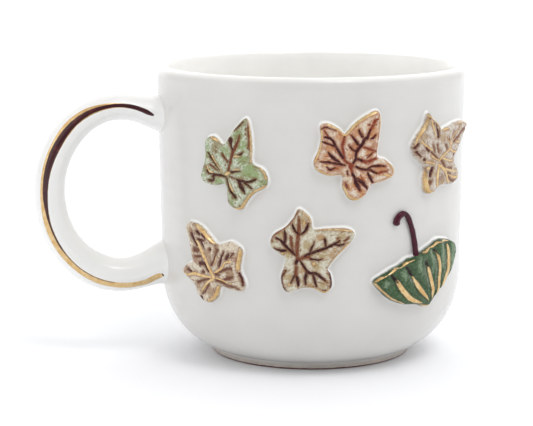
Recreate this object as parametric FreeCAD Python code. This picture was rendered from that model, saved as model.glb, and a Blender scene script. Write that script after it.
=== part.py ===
import FreeCAD, Part
import math
import os
from FreeCAD import Vector

# Hand-thrown stoneware mug with five maple leaves and an open umbrella luted to its wall.
# Millimetres. +Z is up, the origin is the centre of the circle that the foot stands on,
# and the handle lies in the XZ plane on the -X side.

# ---- driving dimensions ----
HEIGHT = 85.3            # foot to the crest of the lip
RIM_R = 45.3             # outside radius just under the lip
WAIST_R = 44.44          # outside radius where the straight wall meets the bottom curve
WAIST_Z = 24.5
LIP_START_Z = 82.0       # the wall starts to round over into the lip here
LIP_CREST_R = 43.6
WALL = 3.4               # wall thickness under the lip
FLOOR_Z = 6.7            # top of the floor inside
FLOOR_R = 25.0           # where the flat inside floor ends

FOOT_H = 1.9             # height of the foot ring
FOOT_TOP_R = 29.3
FOOT_STAND_R = 28.6      # outer edge of the ring's standing face
FOOT_INNER_R = 24.5
BASE_SLOPE = 0.31        # rise of the wall as it leaves the foot, radians
BASE_PULL = 10.9         # strength of the bottom curve at the foot
WAIST_PULL = 9.0         # strength of the bottom curve at the wall

HANDLE_X = -56.6         # centre of the handle's elliptical centreline
HANDLE_Z = 48.6
HANDLE_A = 21.5          # its half width
HANDLE_B = 25.3          # its half height
HANDLE_TOP_T = 4.2       # half thickness of the strap at the top, the back and the bottom
HANDLE_BACK_T = 4.7
HANDLE_BOTTOM_T = 4.95
HANDLE_HALF_W = 6.5      # half width of the strap, along Y
ROOT_GROW = 2.2          # how much the strap swells where it joins the wall
ROOT_REACH = 40.0        # degrees of the ellipse over which it swells
ROOT_ANGLE = 46.0        # the strap ends inside the wall, this far from the +X side

LEAF_T = 1.8             # relief of a leaf over the wall
CANOPY_T = 2.1
STICK_T = 1.5
STICK_HALF_W = 0.68
UNROLL_R = 45.0          # the outlines below are laid off as arc length at this radius
PRISM_IN, PRISM_OUT = 20.0, 60.0

# ---- outlines on the wall: (across, up) from the piece's centre, anticlockwise ----
# Each piece is placed by its azimuth from the front (-Y), in degrees, and its height.
LEAVES = {
    "leaf_green": (-37.0, 62.0, [
        (4.2, 12.2), (0.8, 9.4), (-1.3, 6.9), (-3.2, 4.7), (-4.8, 5.6), (-6.4, 6.7), (-8.7, 6.1),
        (-9.4, 4.2), (-9.2, 0.8), (-10.2, -2.4), (-10.9, -5.0), (-9.4, -6.7), (-6.0, -7.1),
        (-2.8, -6.4), (-2.1, -9.2), (-1.7, -11.6), (0.5, -13.2), (2.6, -13.0), (4.1, -10.7),
        (6.0, -8.5), (9.2, -6.7), (10.0, -4.4), (8.7, -1.7), (5.5, 0.1), (5.7, 4.0), (5.4, 9.4)]),
    "leaf_russet": (5.0, 64.0, [
        (5.9, 12.3), (2.3, 10.6), (-0.6, 8.4), (-2.6, 6.2), (-4.4, 7.7), (-7.2, 9.1), (-9.3, 8.6),
        (-9.1, 5.0), (-9.7, 1.8), (-11.0, -1.4), (-10.0, -4.0), (-6.8, -5.4), (-3.3, -5.4),
        (-3.1, -8.6), (-1.4, -11.7), (0.9, -12.4), (3.2, -11.0), (4.8, -8.3), (7.6, -7.6),
        (10.8, -6.3), (11.1, -3.8), (9.0, -1.5), (6.6, -0.3), (6.8, 3.2), (7.4, 8.4), (7.2, 11.2)]),
    "leaf_grey": (48.0, 62.5, [
        (-11.0, 11.7), (-12.5, 8.8), (-15.0, 5.9), (-16.8, 3.2), (-15.1, -0.2), (-11.5, -3.0),
        (-11.8, -6.6), (-11.2, -10.2), (-8.5, -10.7), (-5.6, -9.1), (-2.0, -9.0), (2.2, -9.4),
        (4.8, -7.8), (4.3, -5.0), (2.4, -2.4), (4.4, 0.5), (8.4, 3.2), (12.4, 6.3), (8.6, 8.0),
        (2.6, 8.1), (-1.8, 7.3), (-4.4, 6.8), (-6.2, 8.8), (-8.8, 10.6)]),
    "leaf_brown": (-52.0, 33.0, [
        (-4.6, 10.3), (-6.2, 8.5), (-4.9, 5.2), (-3.8, 1.6), (-3.5, -0.8), (-6.2, -2.1),
        (-8.4, -4.1), (-6.4, -5.6), (-2.9, -7.4), (-1.7, -9.8), (0.4, -11.9), (3.0, -12.0),
        (5.6, -10.1), (6.9, -7.0), (10.4, -7.5), (13.8, -7.6), (14.7, -5.4), (13.2, -1.8),
        (13.4, 1.2), (13.7, 4.2), (10.6, 6.2), (7.8, 5.5), (5.6, 5.1), (3.0, 7.2), (-0.4, 9.6)]),
    "leaf_sand": (-9.0, 37.0, [
        (-3.8, 12.5), (-5.4, 10.0), (-7.6, 7.4), (-10.7, 5.2), (-11.5, 2.2), (-9.4, 0.0),
        (-7.7, -1.4), (-8.1, -4.0), (-8.9, -6.8), (-8.3, -9.8), (-6.6, -11.1), (-3.2, -9.8),
        (0.0, -9.8), (3.2, -11.2), (5.2, -9.2), (4.9, -6.0), (4.1, -4.2), (6.6, -0.8),
        (10.2, 2.8), (11.4, 5.4), (9.0, 7.0), (3.6, 7.0), (0.1, 6.9), (-0.8, 10.0)]),
}
UMBRELLA_AZIMUTH, UMBRELLA_Z = 35.0, 34.0
CANOPY = [
    (-18.3, -5.5), (-16.2, -8.2), (-12.6, -11.0), (-7.6, -13.0), (-3.0, -13.7), (1.2, -14.9),
    (3.0, -13.6), (5.0, -11.3), (9.2, -9.1), (13.0, -5.4), (15.3, -1.0), (14.0, 2.5), (9.6, 3.9),
    (6.2, 4.1), (3.2, 3.0), (-0.6, 1.5), (-3.4, 0.4), (-6.4, -0.1), (-9.6, -1.6), (-12.0, -2.3),
    (-15.4, -3.7)]
STICK = [(-4.0, -0.6), (-4.5, 2.2), (-5.3, 5.4), (-6.6, 9.2), (-7.9, 11.9), (-9.2, 12.9),
         (-10.5, 12.4), (-11.2, 11.2), (-11.2, 10.2)]


def curve(p0, p1, p2, p3):
    """One cubic curve through the given poles, as an edge."""
    bezier = Part.BezierCurve()
    bezier.setPoles([Vector(r, 0, z) for r, z in (p0, p1, p2, p3)])
    return bezier.toShape()


def line(p0, p1):
    return Part.makeLine(Vector(p0[0], 0, p0[1]), Vector(p1[0], 0, p1[1]))


def outer_edges(grow=0.0):
    """The outside from the foot up to where the lip starts, moved outwards by grow."""
    crease = (FOOT_TOP_R + grow, FOOT_H)
    crease_pole = (crease[0] + BASE_PULL * math.cos(BASE_SLOPE), FOOT_H + BASE_PULL * math.sin(BASE_SLOPE))
    waist = (WAIST_R + grow, WAIST_Z)
    waist_pole = (waist[0], WAIST_Z - WAIST_PULL)
    lip = (RIM_R + grow, LIP_START_Z)
    return [curve(crease, crease_pole, waist_pole, waist), line(waist, lip)]


def revolve(edges):
    face = Part.Face(Part.Wire(edges))
    return face.revolve(Vector(0, 0, 0), Vector(0, 0, 1), 360)


def full_body(grow=0.0):
    """The cup's outer shape as one solid without its hollow, for cutting what joins it."""
    first, last = FOOT_TOP_R + grow, RIM_R + grow
    top = [line((last, LIP_START_Z), (0, LIP_START_Z)), line((0, LIP_START_Z), (0, FOOT_H))]
    return revolve([line((0, FOOT_H), (first, FOOT_H))] + outer_edges(grow) + top)


def cup_body():
    """The thrown cup: a straight wall, a rounded lip and a soft bottom corner."""
    lip_out = (RIM_R, LIP_START_Z)
    lip_in = (RIM_R - WALL, LIP_START_Z)
    crest = (LIP_CREST_R, HEIGHT)
    lip_rise = HEIGHT - LIP_START_Z
    roundness = 0.6
    out_pole = (RIM_R, LIP_START_Z + roundness * lip_rise)
    in_pole = (lip_in[0], LIP_START_Z + roundness * lip_rise)
    crest_out = (LIP_CREST_R + roundness * (RIM_R - LIP_CREST_R), HEIGHT)
    crest_in = (LIP_CREST_R - roundness * (LIP_CREST_R - lip_in[0]), HEIGHT)
    inner_waist = (WAIST_R - WALL, WAIST_Z)
    edges = [line((0, FOOT_H), (FOOT_TOP_R, FOOT_H))] + outer_edges()
    edges.append(curve(lip_out, out_pole, crest_out, crest))
    edges.append(curve(crest, crest_in, in_pole, lip_in))
    edges.append(line(lip_in, inner_waist))
    inner_pull = 10.0
    floor_pole = (FLOOR_R + inner_pull, FLOOR_Z)
    edges.append(curve(inner_waist, (inner_waist[0], WAIST_Z - inner_pull), floor_pole, (FLOOR_R, FLOOR_Z)))
    edges.append(line((FLOOR_R, FLOOR_Z), (0, FLOOR_Z)))
    edges.append(line((0, FLOOR_Z), (0, FOOT_H)))
    return revolve(edges)


def foot_ring():
    """The ring the mug stands on, with its outer edge rounded off."""
    bevel = FOOT_TOP_R - FOOT_STAND_R
    stand = (FOOT_STAND_R, 0)
    edges = [
        line((FOOT_INNER_R, 0), stand),
        curve(stand, (FOOT_TOP_R, 0), (FOOT_TOP_R, 0), (FOOT_TOP_R, bevel)),
        line((FOOT_TOP_R, bevel), (FOOT_TOP_R, FOOT_H)),
        line((FOOT_TOP_R, FOOT_H), (FOOT_INNER_R, FOOT_H)),
        line((FOOT_INNER_R, FOOT_H), (FOOT_INNER_R, 0)),
    ]
    return revolve(edges)


def strap_half_thickness(angle):
    """Half thickness of the strap at an angle round the handle, from its top to its bottom."""
    height = math.sin(angle)
    edge = HANDLE_TOP_T if height > 0 else HANDLE_BOTTOM_T
    return HANDLE_BACK_T + (edge - HANDLE_BACK_T) * height * height


def strap_section(degrees):
    """An oval section of the handle, square to its centreline and swollen near the wall."""
    angle = math.radians(degrees)
    along = Vector(-HANDLE_A * math.sin(angle), 0, HANDLE_B * math.cos(angle)).normalize()
    centre = Vector(HANDLE_X + HANDLE_A * math.cos(angle), 0, HANDLE_Z + HANDLE_B * math.sin(angle))
    from_root = min(degrees, 360 - degrees) - ROOT_ANGLE
    near = max(0.0, 1.0 - from_root / ROOT_REACH)
    swell = ROOT_GROW * near * near
    thick = along.cross(Vector(0, 1, 0)) * (strap_half_thickness(angle) + swell)
    wide = Vector(0, HANDLE_HALF_W + swell, 0)
    turns = [math.tau * i / 8 for i in range(8)]
    oval = Part.BSplineCurve()
    oval.interpolate([centre + wide * math.cos(t) + thick * math.sin(t) for t in turns], PeriodicFlag=True)
    return Part.Wire(oval.toShape())


def handle(body):
    """The pulled strap handle: an oval strap bent round an ellipse, its ends luted to the wall."""
    steps = 17
    span = 360 - 2 * ROOT_ANGLE
    sections = [strap_section(ROOT_ANGLE + span * i / (steps - 1)) for i in range(steps)]
    strap = Part.makeLoft(sections, True, False)
    return strap.cut(body)


def prism(outline):
    """A closed outline on the wall, stood at the front and extended through the wall's radius."""
    face_r = UNROLL_R + LEAF_T
    flat = [Vector(face_r * math.sin(u / UNROLL_R), -PRISM_IN, v) for u, v in outline]
    spline = Part.BSplineCurve()
    spline.interpolate(flat, PeriodicFlag=True)
    face = Part.Face(Part.Wire(spline.toShape()))
    return face.extrude(Vector(0, PRISM_IN - PRISM_OUT, 0))


def applique(outline, azimuth, height, relief, body):
    """A clay piece on the wall: its outline cut from a shell that is relief thicker than the wall."""
    block = prism(outline)
    block.translate(Vector(0, 0, height))
    block.rotate(Vector(0, 0, 0), Vector(0, 0, 1), azimuth)
    return block.common(full_body(relief)).cut(body)


def stick_outline():
    """The umbrella's stick and crook: its centreline widened to both sides, with a round end."""
    left, right = [], []
    for i, (u, v) in enumerate(STICK):
        before, after = STICK[max(i - 1, 0)], STICK[min(i + 1, len(STICK) - 1)]
        du, dv = after[0] - before[0], after[1] - before[1]
        length = math.hypot(du, dv)
        nu, nv = -dv / length * STICK_HALF_W, du / length * STICK_HALF_W
        left.append((u + nu, v + nv))
        right.append((u - nu, v - nv))
    end = (STICK[-1][0], STICK[-1][1] - STICK_HALF_W)
    return left + [end] + right[::-1]


def export(shape, name):
    """Write one closed solid as its own file."""
    solids = shape.Solids
    if len(solids) != 1 or not solids[0].isValid():
        raise RuntimeError(name + " is not one valid solid")
    solids[0].exportStep(os.path.join("parts", name + ".step"))


def main():
    os.makedirs("parts", exist_ok=True)
    body = full_body()
    export(cup_body(), "cup_body")
    export(foot_ring(), "foot_ring")
    export(handle(body), "handle")
    for name, (azimuth, height, outline) in LEAVES.items():
        export(applique(outline, azimuth, height, LEAF_T, body), name)
    canopy = applique(CANOPY, UMBRELLA_AZIMUTH, UMBRELLA_Z, CANOPY_T, body)
    stick = applique(stick_outline(), UMBRELLA_AZIMUTH, UMBRELLA_Z, STICK_T, body)
    export(canopy, "umbrella_canopy")
    export(stick.cut(canopy), "umbrella_stick")


main()
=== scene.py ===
import math

import bpy
import numpy as np
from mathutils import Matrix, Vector, geometry
from mathutils.kdtree import KDTree


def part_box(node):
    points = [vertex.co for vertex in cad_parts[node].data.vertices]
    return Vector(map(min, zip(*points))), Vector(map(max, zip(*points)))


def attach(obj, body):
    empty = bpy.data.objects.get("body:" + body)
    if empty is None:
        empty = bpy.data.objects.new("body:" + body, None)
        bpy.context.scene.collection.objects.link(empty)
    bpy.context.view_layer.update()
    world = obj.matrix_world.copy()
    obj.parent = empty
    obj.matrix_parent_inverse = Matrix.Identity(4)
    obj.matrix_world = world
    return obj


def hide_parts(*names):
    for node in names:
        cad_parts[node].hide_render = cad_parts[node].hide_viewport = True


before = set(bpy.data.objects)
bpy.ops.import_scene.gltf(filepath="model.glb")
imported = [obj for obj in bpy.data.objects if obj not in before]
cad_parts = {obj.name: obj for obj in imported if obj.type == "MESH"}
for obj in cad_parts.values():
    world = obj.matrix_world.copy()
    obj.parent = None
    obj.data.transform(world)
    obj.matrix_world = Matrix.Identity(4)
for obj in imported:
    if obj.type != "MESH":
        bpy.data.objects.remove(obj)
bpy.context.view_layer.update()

# ---- sizes, in millimetres like the design; meshes are scaled to metres as they are made ----
MM = 0.001
cup_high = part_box("cup_body")[1] / MM
foot_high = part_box("foot_ring")[1] / MM
HEIGHT = cup_high.z            # foot to the crest of the lip
RIM_R = cup_high.x             # outside radius just under the lip
FOOT_H = foot_high.z           # height of the foot ring
FOOT_R = foot_high.x
FOOT_STAND_R = FOOT_R - 0.7    # it stands on a flat from here in to FOOT_INNER_R, with softened corners
FOOT_INNER_R = 24.5
WAIST_R, WAIST_Z = 44.44, 24.5  # where the straight wall meets the bottom curve
LIP_START_Z = HEIGHT - 3.3     # the wall rounds over into the lip from here outside,
INNER_LIP_Z = HEIGHT - 6.5     # and from here inside
LIP_CREST_R = RIM_R - 2.0
WALL = 3.4
FLOOR_Z, FLOOR_R = 6.7, 25.0
UNROLL_R = 45.0                # reliefs are laid off as arc length at this radius
LEAF_T = 1.9                   # relief of the leaves over the wall
CANOPY_T = 2.1


# ---- curves and distances ----

def bezier(p0, p1, p2, p3, count):
    t = np.linspace(0, 1, count)[:, None]
    p0, p1, p2, p3 = (np.array(p, float) for p in (p0, p1, p2, p3))
    return (1 - t) ** 3 * p0 + 3 * t * (1 - t) ** 2 * p1 + 3 * t * t * (1 - t) * p2 + t ** 3 * p3


def smooth(points, closed=False, per_span=10):
    """A smooth curve through the points, any number of columns wide."""
    p = np.array(points, float, ndmin=2)
    if len(p) < 3 and not closed:
        t = np.linspace(0, 1, per_span + 1)[:, None]
        return p[:1] * (1 - t) + p[-1:] * t
    if closed:
        p = np.vstack([p[-1:], p, p[:2]])
    else:
        p = np.vstack([2 * p[0] - p[1], p, 2 * p[-1] - p[-2]])
    t = (np.arange(per_span) / per_span)[None, :, None]
    a, b, c, d = (p[i:len(p) - 3 + i][:, None, :] for i in range(4))
    squared, cubed = 2 * a - 5 * b + 4 * c - d, 3 * b - a - 3 * c + d
    spans = 0.5 * (2 * b + (c - a) * t + squared * t ** 2 + cubed * t ** 3)
    curve = spans.reshape(-1, p.shape[1])
    return curve if closed else np.vstack([curve, p[-2:-1]])


def to_segments(q, line, closed=False):
    """Distance from each point to each segment of a line, and how far along the segment it is nearest."""
    a = line[:, :2]
    b = np.roll(a, -1, axis=0) if closed else a[1:]
    a = a if closed else a[:-1]
    ab = b - a
    t = np.einsum("nmk,mk->nm", q[:, None] - a, ab) / np.maximum((ab ** 2).sum(1), 1e-12)
    t = np.clip(t, 0, 1)
    gap = q[:, None] - a - t[..., None] * ab
    return np.hypot(gap[..., 0], gap[..., 1]), t


def in_loop(q, loop):
    """True for the points inside a closed line."""
    a, b = loop, np.roll(loop, -1, axis=0)
    x, y = q[:, :1], q[:, 1:]
    crosses = (a[:, 1] > y) != (b[:, 1] > y)
    rise = np.where(np.abs(b[:, 1] - a[:, 1]) < 1e-12, 1e-12, b[:, 1] - a[:, 1])
    at = a[:, 0] + (y - a[:, 1]) * (b[:, 0] - a[:, 0]) / rise
    return (crosses & (x < at)).sum(1) % 2 == 1


def edge_distance(q, loop):
    """Distance to a closed outline, negative inside."""
    near = np.concatenate([to_segments(part, loop, closed=True)[0].min(1) for part in np.array_split(q, 12)])
    return np.where(in_loop(q, loop), -near, near)


def normals(along):
    """Unit directions to the right of each step along a line."""
    return np.stack([along[:, 1], -along[:, 0]], 1) / np.hypot(*along.T)[:, None]


def facing(q, loop):
    """The direction, across and up, in which the nearest bit of a closed outline faces."""
    normal = normals(np.roll(loop, -1, axis=0) - loop)
    normal = (normal + np.roll(normal, 1, 0) + np.roll(normal, -1, 0) + np.roll(normal, 2, 0)) / 4
    parts = np.array_split(q, 12)
    return np.vstack([normal[to_segments(part, loop, closed=True)[0].argmin(1)] for part in parts])


def stroke_distance(q, strokes):
    """Distance to the edge of the nearest brush stroke, negative inside it.

    A stroke is a list of (across, up, half width), and a round dab is just one of those."""
    best = np.full(len(q), 9.0)
    for stroke in strokes:
        line = smooth(stroke, per_span=6)
        gap, t = to_segments(q, line)
        width = line[:-1, 2] + (line[1:, 2] - line[:-1, 2]) * t
        best = np.minimum(best, (gap - width).min(1))
    return best


# ---- the cup's wall ----

def outer_profile():
    """(radius, height) of the outside, from the foot to the start of the lip."""
    slope, foot_pull, waist_pull = 0.31, 10.9, 9.0
    foot_pole = (FOOT_R + foot_pull * math.cos(slope), FOOT_H + foot_pull * math.sin(slope))
    corner = bezier((FOOT_R, FOOT_H), foot_pole, (WAIST_R, WAIST_Z - waist_pull), (WAIST_R, WAIST_Z), 60)
    z = np.linspace(WAIST_Z, LIP_START_Z, 90)[1:]
    r = WAIST_R + (RIM_R - WAIST_R) * (z - WAIST_Z) / (LIP_START_Z - WAIST_Z)
    return np.vstack([corner, np.stack([r, z], 1)])


OUTER = outer_profile()


def hand_made(azimuth, z):
    """How far the thrown wall strays from a true circle, with the faint rings that fingers leave."""
    sway = 0.07 * np.sin(2 * azimuth + 0.6) + 0.05 * np.sin(3 * azimuth + z / 21 + 2.0)
    rings = 0.025 * np.sin(z / 1.25 + azimuth) + 0.02 * np.sin(z / 0.71 - 2 * azimuth)
    return sway + rings * np.clip((z - 6) / 12, 0, 1)


def turned_radius(z):
    """The outside radius at a height, before the hand's unevenness."""
    return np.interp(z, OUTER[:, 1], OUTER[:, 0])


def wall_radius(azimuth, z):
    return turned_radius(z) + hand_made(azimuth, z)


def on_wall(u, v, azimuth, height, lift):
    """Points over the wall: u across and v up from a piece's centre, lift out from the wall."""
    turn = math.radians(azimuth) + u / UNROLL_R
    z = height + v
    r = wall_radius(turn, z) + lift
    return np.stack([r * np.sin(turn), -r * np.cos(turn), z], 1)


# ---- meshes ----

def make_piece(name, points, faces, material, node, fields=None):
    """A smooth-shaded mesh object from points in millimetres, standing for its CAD node."""
    mesh = bpy.data.meshes.new(name)
    mesh.from_pydata((np.asarray(points) * MM).tolist(), [], [tuple(int(i) for i in f) for f in faces])
    for key, values in (fields or {}).items():
        layer = mesh.attributes.new(key, "FLOAT", "POINT")
        layer.data.foreach_set("value", np.asarray(values, np.float32))
    mesh.shade_smooth()
    mesh.materials.append(material)
    piece = bpy.data.objects.new(name, mesh)
    bpy.context.scene.collection.objects.link(piece)
    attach(piece, "root")
    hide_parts(node)
    return piece


def grid_faces(rows, columns, closed_rows=False):
    """Quads between rows of points, each row a closed ring of columns."""
    faces = []
    for i in range(rows if closed_rows else rows - 1):
        a, b = i * columns, (i + 1) % rows * columns
        faces += [(a + j, a + (j + 1) % columns, b + (j + 1) % columns, b + j) for j in range(columns)]
    return faces


def closed_tube(points, columns, ends=None):
    """Points and faces of rings of points, with a fan to one more point at each end."""
    if ends is None:
        ends = [points[:columns].mean(0), points[-columns:].mean(0)]
    count = len(points)
    last = count - columns
    faces = grid_faces(count // columns, columns)
    faces += [(count, (j + 1) % columns, j) for j in range(columns)]
    faces += [(count + 1, last + j, last + (j + 1) % columns) for j in range(columns)]
    return np.vstack([points, ends]), faces


# ---- outlines on the wall: (across, up) from the piece's centre, anticlockwise ----
# Each piece is placed by its azimuth from the front (-Y), in degrees, and its height.
LEAVES = {
    "leaf_green": (-37.5, 61.75, [
        (3.7, 12.3), (.5, 9.4), (-1.3, 6.9), (-3.2, 4.7), (-4.8, 5.6), (-6.4, 6.7), (-8.7, 6.1),
        (-9.4, 4.2), (-9.2, .8), (-10.2, -2.4), (-10.9, -5), (-9.4, -6.7), (-6, -7.1), (-2.8, -6.4),
        (-2.1, -9.2), (-1.7, -11.6), (.5, -13.2), (2.6, -13), (4.1, -10.7), (6, -8.5), (9.2, -6.7),
        (10, -4.4), (8.7, -1.7), (5.5, .1), (5.5, 4), (5, 9.4)]),
    "leaf_russet": (5.0, 64.0, [
        (5.9, 12.3), (2.3, 10.6), (-.6, 8.4), (-2.6, 6.2), (-4.4, 7.7), (-7.2, 9.1), (-9.3, 8.6), (-9.1, 5),
        (-9.7, 1.8), (-11, -1.4), (-10, -4), (-6.8, -5.4), (-3.3, -5.4), (-3.1, -8.6), (-1.4, -11.7),
        (.9, -12.4), (3.2, -11), (4.8, -8.3), (7.6, -7.6), (11.1, -6.3), (11.5, -3.8), (9.2, -1.5),
        (6.6, -.3), (6.8, 3.2), (7.4, 8.4), (7.2, 11.2)]),
    "leaf_grey": (48.0, 62.5, [
        (-10.4, 12.1), (-12, 8.8), (-14.6, 5.9), (-16.3, 3.2), (-14.8, -.2), (-11.5, -3), (-11.8, -6.6),
        (-10.7, -10.3), (-8, -10.8), (-5.4, -9.3), (-2, -9), (2.2, -9.4), (4.8, -7.8), (4.3, -5),
        (2.4, -2.4), (4.4, .5), (8, 3.2), (11.7, 6.8), (8.4, 8.2), (2.6, 8.1), (-1.8, 7.3), (-4.4, 6.8),
        (-6.2, 8.8), (-8.8, 10.6)]),
    "leaf_brown": (-52.0, 33.0, [
        (-4.6, 10.3), (-6.2, 8.5), (-4.9, 5.2), (-3.8, 1.6), (-3.5, -.8), (-6.2, -2.1), (-8.4, -4.1),
        (-6.4, -5.6), (-2.9, -7.4), (-1.7, -9.8), (.4, -11.9), (3, -12), (5.6, -10.1), (6.9, -7),
        (10.4, -7.5), (13.8, -7.6), (14.7, -5.4), (13.2, -1.8), (13.4, 1.2), (13.7, 4.2), (10.6, 6.2),
        (7.8, 5.5), (5.6, 5.1), (3, 7.2), (-.4, 9.6)]),
    "leaf_sand": (-9.0, 37.0, [
        (-3.8, 12.5), (-5.4, 10), (-7.6, 7.4), (-10.9, 5.2), (-11.8, 2.2), (-9.6, 0), (-7.7, -1.4),
        (-8.1, -4), (-8.9, -6.8), (-8.3, -9.8), (-6.6, -11.1), (-3.2, -9.8), (0, -9.8), (3.2, -11.2),
        (5.2, -9.2), (4.9, -6), (4.1, -4.2), (6.6, -.8), (10.2, 2.8), (11.4, 5.4), (9, 7), (3.6, 7),
        (.1, 6.9), (-.8, 10)]),
}
UMBRELLA_AZIMUTH, UMBRELLA_Z = 35.0, 34.0
CANOPY = [
    (-17.7, -5.5), (-15.8, -8.2), (-12.6, -11), (-7.7, -13), (-3, -13.7), (1.2, -14.9), (3, -13.6),
    (4.8, -11.3), (8.8, -9.1), (12.2, -5.4), (14.1, -1), (12.8, 2.5), (8.3, 3.9), (5, 4.1), (2, 3),
    (-1.9, 1.5), (-4.7, .4), (-7.3, -.1), (-10.1, -1.6), (-12.2, -2.3), (-15.1, -3.7)]
STICK = [
    (-3.1, -.6), (-3.4, 2.2), (-4, 5.4), (-5.2, 9.2), (-6.5, 11.9), (-7.9, 12.9), (-9.3, 12.4),
    (-10.2, 11.2), (-10.3, 9.6)]

# ---- brush strokes on each leaf: (across, up, half width), a few points along each stroke ----
PAINT = {}
PAINT["leaf_green"] = {"dark": [
    [(-.5, 6.2, .75), (-.2, 4.6, .35), (.3, 3.4, .3)], [(1.9, 2.1, .2), (2.7, 2.4, .3), (3.3, 3, .12)],
    [(-.3, -2.8, .35), (1, -2.55, .28), (2.5, -2.3, .15)],
    [(-3.6, -2.6, .12), (-5.4, -.6, .25), (-7, 1.2, .32), (-7.8, 2, .25)],
    [(-2, -4.1, .3), (-3.6, -3.9, .35), (-5.2, -3.8, .4), (-6.8, -3.7, .22), (-8, -3.5, .28)],
    (-8, -3.1, .45),
    [(-5.3, -4, .35), (-6.1, -4.3, .4), (-5.9, -5.2, .4), (-6.9, -5.7, .4), (-7.8, -5.6, .25)],
    [(-1.6, -4.6, .25), (-1.4, -6.2, .28), (-.9, -7.8, .3), (0, -8.8, .4), (.8, -9.5, .5), (1.1, -10, .2)],
    [(1.6, -4.8, .35), (2.9, -5, .45), (4.4, -5.2, .35), (5.7, -4.9, .35), (6.8, -4.4, .35)],
    [(2.2, -5.2, .45), (2.6, -6.3, .6), (3.1, -7.2, .55), (3.7, -8.4, .2)],
    [(3.3, -5.3, .3), (4.6, -6.1, .3), (5.8, -7, .2)], [(3.4, 11.4, .2), (2.1, 10, .25), (.9, 8.9, .2)],
], "brown": [
    [(-1.2, -2.9, .35), (-.9, -1, .4), (-.3, .6, .42), (.2, 2.2, .45), (.6, 3.4, .5), (1.4, 4.8, .45),
     (1.9, 6.2, .35), (2.3, 7.6, .22)], [(-1, -.2, .25), (-2, .7, .3), (-2.9, 1.9, .3), (-3.1, 2.4, .15)],
    [(-4.3, -2.6, .2), (-5.7, -1.8, .25), (-7, -1, .25)], [(-.6, -4, .2), (.8, -4.3, .2), (1.8, -4.8, .25)],
    [(4.6, 11.2, .25), (4.8, 8.6, .3), (4.9, 6, .25), (5, 3.6, .2)], [(-1.9, -9, .2), (-1.3, -12, .25)],
], "gold": [
    [(1, 1.75, .25), (2.4, 1.9, .2)], [(.5, -2.1, .15), (2.2, -1.7, .2)],
    [(-3, -2.9, .15), (-4.6, -.9, .2), (-5.9, .9, .28), (-6.3, 1.4, .2)],
    [(-6, -3.3, .25), (-7.4, -2.9, .3), (-7.9, -1.6, .2)],
    [(-.9, -5.6, .15), (-.3, -7, .28), (.4, -8.2, .2)],
    [(-1.9, -3.6, .35), (-1.2, -3.1, .45), (-.6, -2.9, .25)],
    [(4.6, 12, .35), (5.2, 9, .35), (5.5, 4, .35), (5.3, .3, .25)],
    [(-3.2, 4.9, .3), (-4.8, 5.7, .3), (-7, 6.6, .2)], [(5.9, .1, .15), (8.7, -1.9, .2), (9.8, -4.2, .2)],
    [(9.6, -6.2, .35), (6, -8.3, .45), (4.1, -10.6, .45), (2.6, -12.7, .45), (.5, -12.9, .35)],
    (-2.5, -7.5, .3),
], "wash_a_and_canopy_highlight": [
    (-2.2, 3, 1.4), (3, 4.9, 1.3), (3.3, .8, 1.5), (5.2, -2, 2.1), (6.8, -3.2, 1.4),
    (8.9, -5.2, 1.1), (-8.2, 1.6, 1.2), (-8.3, 3.6, 1.1), (-9.9, -4, 1), (-4.2, -5.8, 1.2),
    (2, 7.8, 1.4), (-.2, -11.3, 1),
], "wash_b_and_canopy_highlight": [
    (-9.2, -2, 1), (-5, 3.6, 1.4), (1.4, 6.8, 1), [(2.3, -4.3, .4), (4, -3.4, .5), (5.5, -3, .3)],
]}

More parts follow.
